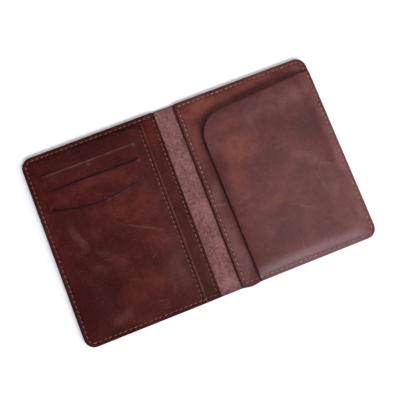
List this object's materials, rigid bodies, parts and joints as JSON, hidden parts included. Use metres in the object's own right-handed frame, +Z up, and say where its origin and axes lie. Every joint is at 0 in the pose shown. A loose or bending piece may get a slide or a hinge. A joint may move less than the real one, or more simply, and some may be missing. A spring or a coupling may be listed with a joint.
{
  "type": "passport holder",
  "caption": "Bifold leather passport holder lying open: a shaped passport pocket on one half, a panel with straight and curved card slits on the other, sewn round.",
  "frame": {"origin": "middle of the outside face that rests on the table, with the holder open flat", "axes": "+X across both halves towards the passport half, +Y towards the top edge, +Z up out of the inside"},
  "size_m": [0.214, 0.138, 0.0079],
  "materials": {
    "cover_leather": "oiled, burnished edges, suede flesh side",
    "panel_leather": "oiled pull-up, soft sheen",
    "card_leather": "oiled pull-up, soft sheen",
    "pocket_leather": "oiled pull-up, soft sheen",
    "lining_cloth": "fine plain weave",
    "thread": "waxed polyester thread"
  },
  "bodies": {
    "passport_half": {"outer_cover_right": "cover_leather", "right_inner_panel": "panel_leather", "passport_pocket": "pocket_leather", "perimeter_stitching_right": "thread", "spine_edge_stitching_right": "thread"},
    "spine": {"outer_cover_spine": "cover_leather"},
    "card_half": {"outer_cover_left": "cover_leather", "left_inner_panel": "panel_leather", "card_lining_upper": "lining_cloth", "card_lining_middle": "lining_cloth", "card_lining_lower": "lining_cloth", "card_panel": "card_leather", "perimeter_stitching_left": "thread", "spine_edge_stitching_left": "thread", "card_panel_stitching": "thread"}
  },
  "joints": [
    {"name": "spine_fold_right", "type": "hinge", "parent": "passport_half", "child": "spine", "pos_m": [0.0053, 0, 0.0015], "axis": [0, 1, 0], "range_deg": [0, 90]},
    {"name": "spine_fold_left", "type": "hinge", "parent": "spine", "child": "card_half", "pos_m": [-0.0053, 0, 0.0015], "axis": [0, 1, 0], "range_deg": [0, 90]}
  ],
  "couplings": [
    {"joint": "spine_fold_left", "follows": "spine_fold_right", "ratio": 1}
  ]
}
